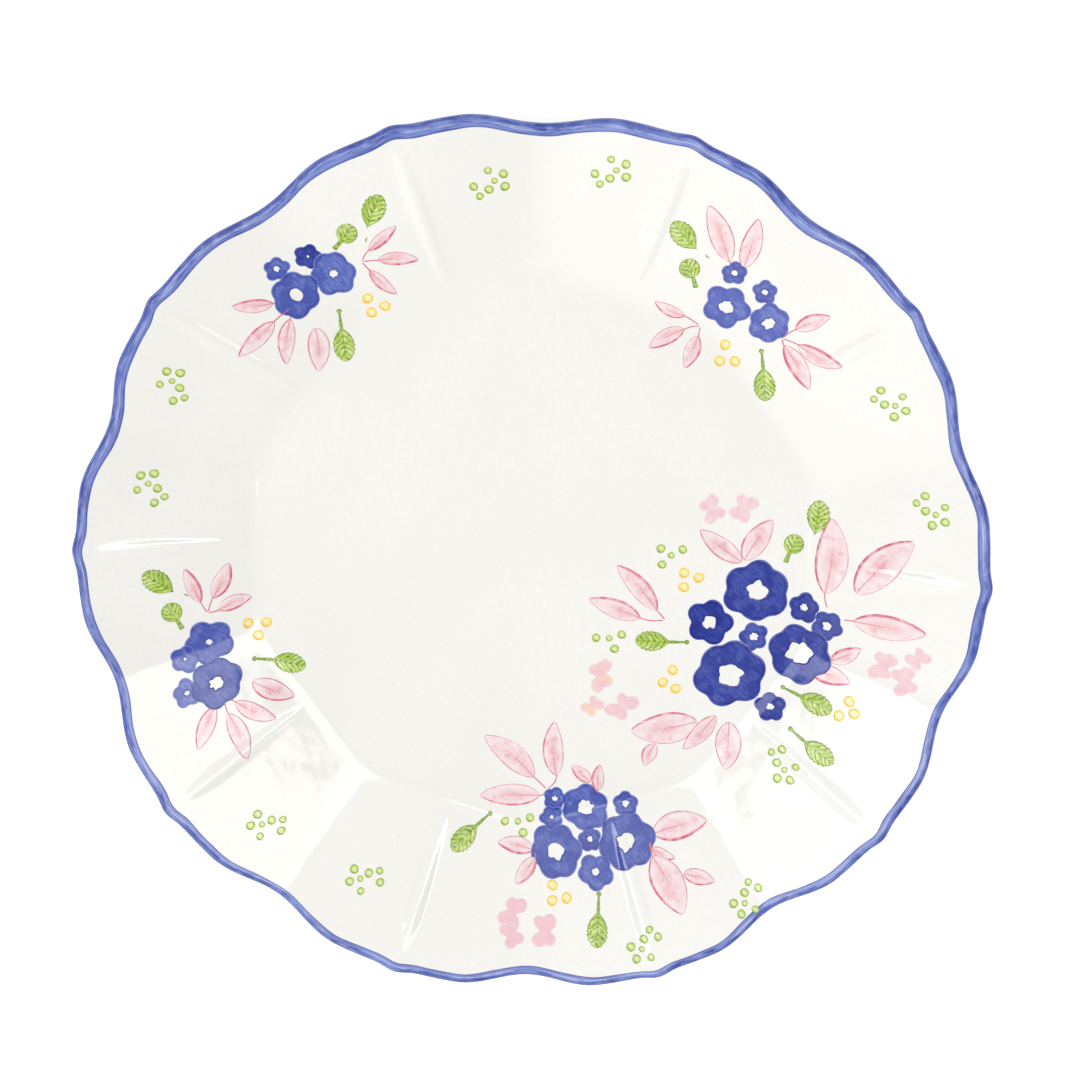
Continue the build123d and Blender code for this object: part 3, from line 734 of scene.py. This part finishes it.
PINK_FANS = (  # where the thin stems of a group of rose leaves meet
    (-49.5, 90.0), (-70.5, 76.5), (49.5, 70.5), (73.5, 68.0), (59.5, 89.5),
    (-98.5, -18.0), (-94.5, -43.5), (89.5, -15.5), (40.5, -20.5), (94.0, -18.5),
    (64.0, -1.5), (4.5, -76.0), (0.5, -95.5), (37.0, -90.5),
)
STEM_REACH = 8.0  # leaves whose base is nearer a fan than this have a stem to it
SERRATED_LEAVES = ((-47.5, 100.5, 66), (48.0, 94.5, 130), (-108.0, -10.5, 142), (85.0, 7.0, 84))
SPOON_LEAVES = ((-57.5, 94.0, 52), (48.0, 82.5, 111), (-106.0, -22.5, 118), (76.5, -2.0, 66))
STALKED_LEAVES = (
    (-57.0, 75.5, 276), (67.5, 64.5, 276), (-86.0, -33.5, -11), (48.0, -27.5, 178),
    (76.0, -41.0, -21), (78.5, -53.0, -35), (-12.5, -83.5, 222), (21.0, -106.0, 268),
)
LEAF_LENGTH = 11.0
STALK_LENGTH = 4.8
SPOON_REACH = 5.8
SPOON_RADIUS = 3.1
YELLOW_BERRIES = (
    (-48.5, 78.5), (-43.5, 76.0), (-47.5, 74.0), (57.0, 65.0), (55.5, 60.0), (60.0, 60.0),
    (-87.0, -22.5), (-81.5, -22.5), (-84.0, -26.5), (46.0, -5.5), (50.5, -7.0), (46.0, -10.0),
    (43.0, -36.5), (40.0, -40.5), (44.0, -42.5), (96.5, -43.5), (93.5, -48.0), (98.0, -47.0),
    (6.5, -105.0), (11.0, -108.5), (6.5, -109.5),
)
YELLOW_RADIUS = 1.7
BERRY_SPRIG = (
    (0.0, 0.0, 1.0), (-1.8, 3.1, 1.2), (2.6, 2.1, 1.4), (3.0, -1.7, 1.45),
    (-1.6, -2.6, 1.4), (-6.0, -1.7, 1.35), (-4.3, -4.6, 1.2),
)
BERRY_SPRIGS = (
    (-10.5, 114.5, 0), (24.5, 118.0, -5), (-105.5, 55.5, 73), (-114.0, 24.0, 88),
    (-83.0, -84.0, 141), (-53.0, -102.0, 153), (106.5, 49.5, -62), (119.5, 17.0, -75),
    (77.5, -66.0, -98), (66.0, -107.0, -146), (34.5, -122.0, -158),
)
FOUR_BERRIES = ((0.0, 0.0, 1.1), (3.5, 1.9, 1.4), (-3.1, 2.1, 1.45), (-2.7, -2.9, 1.4))
BERRY_FOURS = ((42.0, 0.0, 0), (23.5, -26.5, 150), (-4.5, -86.5, 150))
PINK_BLOSSOMS = (
    # x, y, radius, turn, warmth, strength
    (54.0, 14.5, 5.0, 75, 0, 0.15), (63.5, 15.0, 5.2, 20, 0, 0.15), (21.0, -38.5, 5.4, 60, 0.6, 0.4),
    (27.5, -48.5, 5.4, 10, 0.1, 0.4), (18.5, -48.5, 4.0, 0, 1, 0.4), (106.0, -31.5, 5.0, 30, 0.3, 0.4),
    (112.5, -35.5, 5.2, 60, 0, 0.4), (116.0, -28.0, 4.2, 0, 0.1, 0.4), (-6.0, -113.0, 5.0, 20, 0, 0.9),
    (-6.0, -119.5, 4.8, 70, 0, 0.9), (4.2, -118.5, 5.4, 45, 0, 0.9),
)


INSET = 0.12  # paint reaches its full thickness this far in from its edge
DISC_MIDDLE, DISC_START = 0.02, 0.06  # radii of a disc's two innermost rings


class Pads:
    """Thin closed pads of paint lying on the glaze, gathered into one mesh."""

    def __init__(self):
        self.points, self.faces, self.attributes, self.total = [], [], {}, 0

    def add(self, x, y, rim, proud, wrap, **attributes):
        """A grid of plan positions. rim marks the grid's own border, which dips under the glaze."""
        rho, phi = np.hypot(x, y), np.degrees(np.arctan2(y, x)) % 360
        level = top_height(rho, phi)
        rows, columns = x.shape
        over = level + np.where(rim, -SUNK, proud)
        under = level - 1.5 * SUNK
        top = np.stack([x, y, over], axis=-1).reshape(-1, 3)
        bottom = np.stack([x, y, under], axis=-1).reshape(-1, 3)
        hidden = np.flatnonzero(~rim.ravel())
        place = np.arange(rows * columns)
        place[hidden] = rows * columns + np.arange(len(hidden))
        quads = np.array(grid_faces(rows, columns, 0, wrap))
        below = place[quads][:, ::-1]
        doubled = (quads == place[quads]).all(axis=1)
        self.faces += (quads + self.total).tolist() + (below[~doubled] + self.total).tolist()
        self.points += [top, bottom[hidden]]
        for key, values in attributes.items():
            flat = np.stack([np.broadcast_to(part, x.shape) for part in values], axis=-1).reshape(-1, 3)
            self.attributes.setdefault(key, []).extend([flat, flat[hidden]])
        self.total += rows * columns + len(hidden)

    def add_disc(self, x0, y0, border, rings, proud, seed, unit, depth):
        """A round pad, closed over a very small ring. depth turns a radius into the attribute."""
        theta = np.linspace(0, 2 * np.pi, len(border), endpoint=False)
        inner = border - INSET
        steps = [DISC_START + (inner - DISC_START) * s for s in np.linspace(0, 1, rings)]
        out = np.array([np.full(len(border), DISC_MIDDLE), *steps, border])
        u, v = out * np.cos(theta), out * np.sin(theta)
        rim = np.zeros(u.shape, bool)
        rim[-1] = True
        shown = self.total
        hidden = shown + u.size
        self.add(x0 + u, y0 + v, rim, proud, True, motif=(u / unit, v / unit, seed), depth=depth(out))
        self.faces.append([shown + j for j in range(len(theta))])
        self.faces.append([hidden + j for j in reversed(range(len(theta)))])

    def finish(self, name, node, finish):
        attributes = {key: np.concatenate(parts) for key, parts in self.attributes.items()}
        make_piece(name, np.concatenate(self.points), self.faces, node, finish.material, attributes)


def petal_outline(theta, radius, turn, petals):
    """Outline of a flower of round petals."""
    reach, petal, heart = 0.56, 0.47, 0.74
    step = 2 * np.pi / petals
    off = (theta - radians(turn) + step / 2) % step - step / 2
    inside = petal**2 - (reach * np.sin(off)) ** 2
    petal_edge = reach * np.cos(off) + np.sqrt(np.maximum(inside, 0))
    return radius * np.where(inside > 0, np.maximum(petal_edge, heart), heart)


def blossom_outline(theta, radius, turn):
    """Outline of a sponged blossom: four loose petals of different size."""
    edge = np.full(theta.shape, 0.36)
    for k, (reach, petal) in enumerate(((0.62, 0.42), (0.55, 0.34), (0.60, 0.40), (0.52, 0.36))):
        off = (theta - radians(turn + 90 * k + 11 * (-1) ** k) + np.pi) % (2 * np.pi) - np.pi
        inside = petal**2 - (reach * np.sin(off)) ** 2
        met = (inside > 0) & (np.cos(off) > 0)
        edge = np.maximum(edge, np.where(met, reach * np.cos(off) + np.sqrt(np.maximum(inside, 0)), 0))
    return radius * edge


def soften(values, times):
    """Rounds off the notches of a closed outline."""
    for _ in range(times):
        values = (np.roll(values, 1) + 2 * values + np.roll(values, -1)) / 4
    return values


def unevenly(theta, seed, amount):
    """A hand-drawn wobble round a closed outline."""
    waves = ((1.0, 2, 1.0), (0.7, 3, 2.3), (0.4, 5, 3.1))
    return amount * sum(height * np.sin(k * theta + shift * seed) for height, k, shift in waves) / 2


THETA = np.linspace(0, 2 * np.pi, 96, endpoint=False)


def flower_edge(index):
    """The flower's outline, as a radius for each angle of THETA."""
    radius, turn, petals = BLUE_FLOWERS[index][2:5]
    shape = petal_outline(THETA, radius, turn, petals) * (1 + unevenly(THETA, 1.7 * index + 0.4, 0.07))
    return soften(shape, 3)


FLOWERS_APART = 22.0  # flowers this far apart never cross

flowers = Pads()
ragged_eyes = np.random.default_rng(5)
flower_edges = [flower_edge(i) for i in range(len(BLUE_FLOWERS))]
for index, (x0, y0, radius, turn, petals, tone, eye) in enumerate(BLUE_FLOWERS):
    border = flower_edges[index]
    corners = 10 + 2 * (index % 3)
    corner_at = (np.arange(corners) + 0.5 * ragged_eyes.random(corners)) * 2 * np.pi / corners
    corner_out = 0.95 + 0.09 * (-1) ** np.arange(corners) + 0.46 * (ragged_eyes.random(corners) - 0.5)
    hole = np.maximum(eye * radius * np.interp(THETA, corner_at, corner_out, period=2 * np.pi), 0.18)
    inner_start, inner_end = hole + INSET, border - INSET
    between = [inner_start + (inner_end - inner_start) * share for share in np.linspace(0, 1, 13)]
    ring_rho = np.array([hole, *between, border])
    u, v = ring_rho * np.cos(THETA), ring_rho * np.sin(THETA)
    x, y = x0 + u, y0 + v
    rim = np.zeros(x.shape, bool)
    rim[0] = rim[-1] = True
    crossing = np.full(x.shape, -1.0)
    for other, (x1, y1, *_) in enumerate(BLUE_FLOWERS):
        if other == index or np.hypot(x1 - x0, y1 - y0) > FLOWERS_APART:
            continue
        away = np.hypot(x - x1, y - y1)
        angle = np.arctan2(y - y1, x - x1) % (2 * np.pi)
        reach = np.interp(angle, THETA, flower_edges[other], period=2 * np.pi)
        crossing = np.maximum(crossing, np.where(away < reach, reach - away, -1.0))
    proud, motif = PROUD + 0.012 * (index % 6), (u, v, index * 3.7)
    depth = (border - ring_rho, ring_rho - hole, tone)
    flowers.add(x, y, rim, proud, True, motif=motif, depth=depth, crossing=(crossing, 0.0, 0.0))
flowers.finish("painted_blue_flowers", "blue_flowers", flower_blue)


def strip(pads, line_x, line_y, half_width, proud, seed, across=9):
    """A pad along a middle line, with a half width at each of its points."""
    slip_x, slip_y = np.gradient(line_x), np.gradient(line_y)
    length = np.hypot(slip_x, slip_y)
    side_x, side_y = -slip_y / length, slip_x / length
    run = np.concatenate([[0], np.cumsum(np.hypot(np.diff(line_x), np.diff(line_y)))])
    spread = np.linspace(-1, 1, across)
    inset = np.minimum(INSET / np.maximum(half_width, 0.2), 0.5)
    sides = np.ones(len(run))
    spreads = np.stack([-sides, *[s * (1 - inset) for s in spread], sides], axis=1)
    lie = spreads * half_width[:, None]
    x, y = line_x[:, None] + lie * side_x[:, None], line_y[:, None] + lie * side_y[:, None]
    rim = np.zeros(x.shape, bool)
    rim[0] = rim[-1] = True
    rim[:, 0] = rim[:, -1] = True
    from_end = np.minimum(run, run[-1] - run)[:, None]
    edge_in = np.minimum(half_width[:, None] - np.abs(lie), from_end)
    share = np.broadcast_to((run / run[-1])[:, None], x.shape)
    size = (np.broadcast_to(run[:, None], x.shape), lie, edge_in)
    pads.add(x, y, rim, proud, False, motif=(share, spreads, seed), size=size)


def directions(turn):
    """Unit vectors along a heading in degrees and to its left."""
    way = np.array([cos(radians(turn)), sin(radians(turn))])
    return way, np.array([-way[1], way[0]])


pinks = Pads()
fans = np.array(PINK_FANS)
for index, (x0, y0, turn, length, width) in enumerate(PINK_LEAVES):
    way, side = directions(turn)
    base = np.array([x0, y0])
    gaps = np.hypot(*(fans - base).T)
    fan = fans[gaps.argmin()]
    share = np.linspace(0, 1, 26)
    bend = 0.05 * length * np.sin(index * 2.3)
    leaf = base + share[:, None] * length * way + (bend * np.sin(np.pi * share))[:, None] * side
    profile = 0.54 * width * np.maximum(4 * share * (1 - share), 0) ** 0.72 * (1 + 0.35 * (0.5 - share))
    profile = np.maximum(profile, 0.14)
    if 0.8 < gaps.min() < STEM_REACH:
        step = np.linspace(0, 1, 8)[:-1]
        knee = base - way * gaps.min() * 0.45
        step = step[:, None]
        stem = (1 - step) ** 2 * fan + 2 * step * (1 - step) * knee + step**2 * base
        line = np.concatenate([stem, leaf])
        profile = np.concatenate([np.full(len(stem), 0.24), np.maximum(profile, 0.22)])
    else:
        line = leaf
    profile[0] = profile[-1] = 0.05
    strip(pinks, line[:, 0], line[:, 1], profile, PROUD + 0.010 * (index % 5), index * 2.9)
pinks.finish("painted_rose_leaves", "pink_leaves", leaf_pink)

greens = Pads()


def green_leaf(x0, y0, turn, distance, half_width, seed):
    """A green leaf from its widths at distances along it."""
    way, side = directions(turn)
    bend = 0.35 * np.sin(seed) * np.sin(np.pi * distance / distance[-1])
    line = np.array([x0, y0]) + distance[:, None] * way + bend[:, None] * side
    strip(greens, line[:, 0], line[:, 1], half_width, PROUD + 0.06, seed, 11)


def leaf_profile(share, width, teeth):
    """Half widths of a leaf blade, its far end toothed."""
    swell = share**1.25
    blade = 0.52 * width * np.maximum(4 * swell * (1 - swell), 0) ** 0.6 * (1 - np.exp(-share / 0.12))
    tooth = teeth * np.abs(((share * 8) % 1) - 0.5) * np.clip((share - 0.25) / 0.3, 0, 1)
    return np.maximum(blade - tooth * np.sqrt(np.maximum(blade, 0)), 0.12)


share = np.linspace(0, 1, 46)
for index, (x0, y0, turn) in enumerate(SERRATED_LEAVES):
    widths = leaf_profile(share, 7.0, 0.55)
    widths[0] = widths[-1] = 0.06
    green_leaf(x0, y0, turn, share * LEAF_LENGTH, widths, 1.3 + index)
    tail = np.linspace(0, 1, 8)
    way = radians(turn)
    dash = np.maximum(0.26 * np.sin(np.pi * tail), 0.05)
    green_leaf(x0 - 4.6 * cos(way + 0.3), y0 - 4.6 * sin(way + 0.3), turn + 6, tail * 1.9, dash, 7.1 + index)
for index, (x0, y0, turn) in enumerate(SPOON_LEAVES):
    distance = np.linspace(-0.6, SPOON_REACH + SPOON_RADIUS, 40)
    ball = np.sqrt(np.maximum(SPOON_RADIUS**2 - (distance - SPOON_REACH) ** 2, 0))
    stem = np.where(distance < SPOON_REACH, 0.75 - 0.05 * distance, 0)
    neck = 0.5 * np.exp(-(((distance + 0.1) / 0.8) ** 2))
    widths = np.maximum(np.maximum(ball, stem) + 0.15 * neck, 0.08)
    widths[0] = widths[-1] = 0.06
    green_leaf(x0, y0, turn, distance + 0.6, widths, 3.9 + index)
for index, (x0, y0, turn) in enumerate(STALKED_LEAVES):
    knob = 0.8
    distance = np.concatenate([np.linspace(-knob, STALK_LENGTH, 20)[:-1], STALK_LENGTH + share * LEAF_LENGTH])
    bead = np.sqrt(np.maximum(knob**2 - distance**2, 0))
    stalk = np.where(distance < STALK_LENGTH + 2, 0.32 + 0.03 * np.clip(distance, 0, 6) ** 1.5, 0)
    blade = leaf_profile(np.clip((distance - STALK_LENGTH) / LEAF_LENGTH, 0, 1), 6.6, 0.5)
    root = np.where(distance < STALK_LENGTH + 2, 0.5, 0)
    widths = np.where(distance < STALK_LENGTH, np.maximum(bead, stalk), np.maximum(blade, root))
    widths[0] = widths[-1] = 0.06
    green_leaf(x0, y0, turn, distance + knob, widths, 5.7 + index)
greens.finish("painted_green_leaves", "green_leaves", leaf_green)


blossoms = Pads()
theta = np.linspace(0, 2 * np.pi, 64, endpoint=False)
for index, (x0, y0, radius, turn, warmth, strength) in enumerate(PINK_BLOSSOMS):
    border = blossom_outline(theta, radius, turn) * (1 + unevenly(theta, 2.2 * index + 1, 0.10))
    border = soften(border, 2)
    proud, seed = PROUD + 0.01 * (index % 3), index * 4.1
    blossoms.add_disc(x0, y0, border, 9, proud, seed, 1.0, lambda out: (border - out, warmth, strength))
blossoms.finish("sponged_blossoms", "pink_blossoms", blossom_pink)


def berry(pads, x0, y0, radius, index):
    """A small round dot, a little out of true."""
    theta = np.linspace(0, 2 * np.pi, 28, endpoint=False)
    border = radius * (1 + unevenly(theta, index * 1.9 + 0.3, 0.07))
    pads.add_disc(x0, y0, border, 5, PROUD + 0.02, index * 5.3, radius, lambda out: (out / border, 0.0, 0.0))


yellows = Pads()
for index, (x0, y0) in enumerate(YELLOW_BERRIES):
    berry(yellows, x0, y0, YELLOW_RADIUS, index)
yellows.finish("painted_yellow_berries", "yellow_berries", berry_yellow)

small_greens = Pads()
index = 0
for group, places in ((BERRY_SPRIG, BERRY_SPRIGS), (FOUR_BERRIES, BERRY_FOURS)):
    for x0, y0, turn in places:
        c, s = cos(radians(turn)), sin(radians(turn))
        for aside, ahead, radius in group:
            berry(small_greens, x0 + c * aside - s * ahead, y0 + s * aside + c * ahead, radius, index)
            index += 1
small_greens.finish("painted_green_berries", "green_berries", berry_green)


# -- floor, light and camera

FLOOR_SIZE = 9.0
FLOOR_GLOW = 0.30  # lifts the paper to the white of a cut-out's surroundings
floor_mesh = bpy.data.meshes.new("studio_floor")
s, below = FLOOR_SIZE, -0.1 * MM  # the floor lies just clear of the foot ring
floor_mesh.from_pydata([(-s, -s, below), (s, -s, below), (s, s, below), (-s, s, below)], [], [(0, 1, 2, 3)])
floor = put("studio_floor", floor_mesh)
paper = Finish("studio_paper", 0.9)
tone = paper.map(paper.noise(paper.place(), 3.0, 2.0), 0.3, 0.7)
paper.shown = paper.mix(tone, (0.93, 0.93, 0.93, 1), (0.95, 0.95, 0.95, 1))
paper.colour()
paper.set(paper.shader.inputs["Emission Color"], (1, 1, 1, 1))
paper.set(paper.shader.inputs["Emission Strength"], FLOOR_GLOW)
floor_mesh.materials.append(paper.material)

SOFTBOX_RADIANCE = 3.5
FILL_RADIANCE = 7.5
SOFTBOX_DISTANCE = 1.3
ROOM_LEVEL = 0.305
ROOM_GLOWS = (
    # direction, cosine where the glow starts, cosine where it is full, strength added
    ((-0.52, -0.69, 0.5), 0.77, 0.95, 1.1),
    ((0.0, 0.42, 0.9), 0.88, 0.97, 1.35),
    ((0.68, -0.13, 0.72), 0.988, 0.995, 2.6),
)


def facing(away):
    """Turns the Z axis to the given way, with the plate's back as nearly upward as it can be."""
    upward = (Vector((0, 1, 0)) - away * away.y).normalized()
    return Matrix((upward.cross(away), upward, away)).transposed().to_4x4()


def softbox(name, direction, width, height, roll, shift, radiance):
    """A rectangular softbox that looks at the plate."""
    data = bpy.data.lights.new(name, "AREA")
    data.shape = "RECTANGLE"
    data.size, data.size_y = width, height
    data.energy = radiance * pi * width * height
    lamp = put(name, data)
    way = Vector(direction).normalized()
    place = Matrix.Translation((*shift, SOFTBOX_DISTANCE)) @ Matrix.Rotation(roll, 4, "Z")
    lamp.matrix_world = facing(way) @ place


FROM_RIGHT = (0.42, 0.05, 0.906)
FROM_LEFT = (-0.446, 0.053, 0.892)
softbox("softbox_right", FROM_RIGHT, 0.42, 0.46, radians(30.5), (-0.239, -0.140), SOFTBOX_RADIANCE)
softbox("softbox_left", FROM_LEFT, 0.42, 0.46, radians(-34.4), (0.2065, -0.141), SOFTBOX_RADIANCE)
softbox("fill_right", FROM_RIGHT, 0.36, 0.17, 0, (-0.025, 0.120), FILL_RADIANCE)
softbox("fill_left", FROM_LEFT, 0.36, 0.16, 0, (0.025, 0.123), FILL_RADIANCE)

world = bpy.data.worlds.new("studio")
bpy.context.scene.world = world
world.use_nodes = True
room = Nodes(world.node_tree)
toward = room.node("ShaderNodeTexCoord").outputs["Generated"]
brightness = ROOM_LEVEL
for direction, start, end, added in ROOM_GLOWS:
    glow = room.node("ShaderNodeVectorMath", operation="DOT_PRODUCT")
    room.set(glow.inputs[0], toward)
    room.set(glow.inputs[1], Vector(direction).normalized())
    brightness = room.plus(brightness, room.map(glow.outputs["Value"], start, end, 0.0, added))
background = room.tree.nodes["Background"]
room.set(background.inputs["Color"], (1, 1, 1, 1))
room.set(background.inputs["Strength"], brightness)
bpy.context.scene.view_settings.view_transform = "Standard"

camera_data = bpy.data.cameras.new("camera")
camera = put("camera", camera_data)
bpy.context.scene.camera = camera
camera_data.sensor_width = 36
camera_data.lens = 88
camera_data.shift_x = 0.0071
camera_data.shift_y = 0.013
camera_data.dof.use_dof = False
TILT, SWING, DISTANCE = radians(16), radians(82.8), 0.8
away = Vector((sin(TILT) * cos(SWING), sin(TILT) * sin(SWING), cos(TILT)))
target = Vector((0, 0, WELL_FLOOR * MM))
camera.matrix_world = Matrix.Translation(target + away * DISTANCE) @ facing(away)
